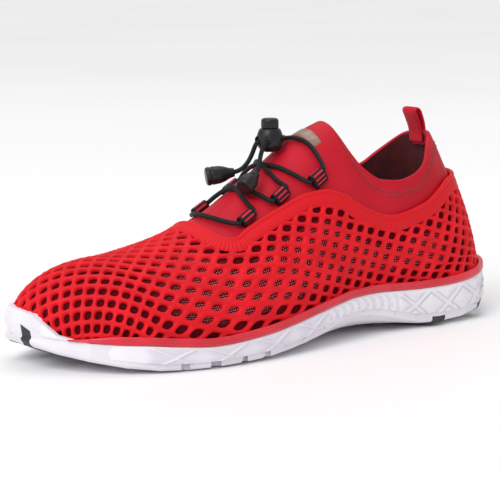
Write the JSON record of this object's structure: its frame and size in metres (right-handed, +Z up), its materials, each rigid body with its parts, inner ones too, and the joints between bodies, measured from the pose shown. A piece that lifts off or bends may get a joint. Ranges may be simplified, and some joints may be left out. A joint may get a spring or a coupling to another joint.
{
  "type": "water shoe",
  "caption": "Slip-on water shoe with an open mesh upper, a stretch inner bootie, toggle cord lacing and a foam sole with drainage holes and rubber inserts.",
  "frame": {"origin": "on the ground, under the middle of the shoe's length and width", "axes": "-X towards the toe, +X the heel, -Y the lateral side, +Y the medial side, +Z up"},
  "size_m": [0.292, 0.1062, 0.1146],
  "materials": {
    "foam": "satin moulded foam",
    "outsole_rubber": "matt",
    "strip_rubber": "semi-gloss",
    "mesh": "open knit",
    "neoprene": "smooth stretch cloth",
    "footbed": "perforated cloth on foam",
    "webbing": "woven webbing",
    "cord": "braided elastic cord",
    "plastic": "matt"
  },
  "bodies": {
    "root": {"midsole": "foam", "forefoot_rubber": "outsole_rubber", "heel_rubber": "outsole_rubber", "insole": "footbed", "foxing_strip": "strip_rubber", "mesh_upper": "mesh", "neoprene_bootie": "neoprene", "pull_loop": "neoprene", "lace_crossings": "cord", "lace_tail_1": "cord", "lace_tail_2": "cord", "cord_bell_1": "plastic", "cord_bell_2": "plastic", "cord_lock_body": "plastic", "cord_lock_button": "plastic", "cord_loop_lateral_1": "webbing", "cord_loop_lateral_2": "webbing", "cord_loop_lateral_3": "webbing", "cord_loop_medial_1": "webbing", "cord_loop_medial_2": "webbing", "cord_loop_medial_3": "webbing"}
  },
  "joints": []
}
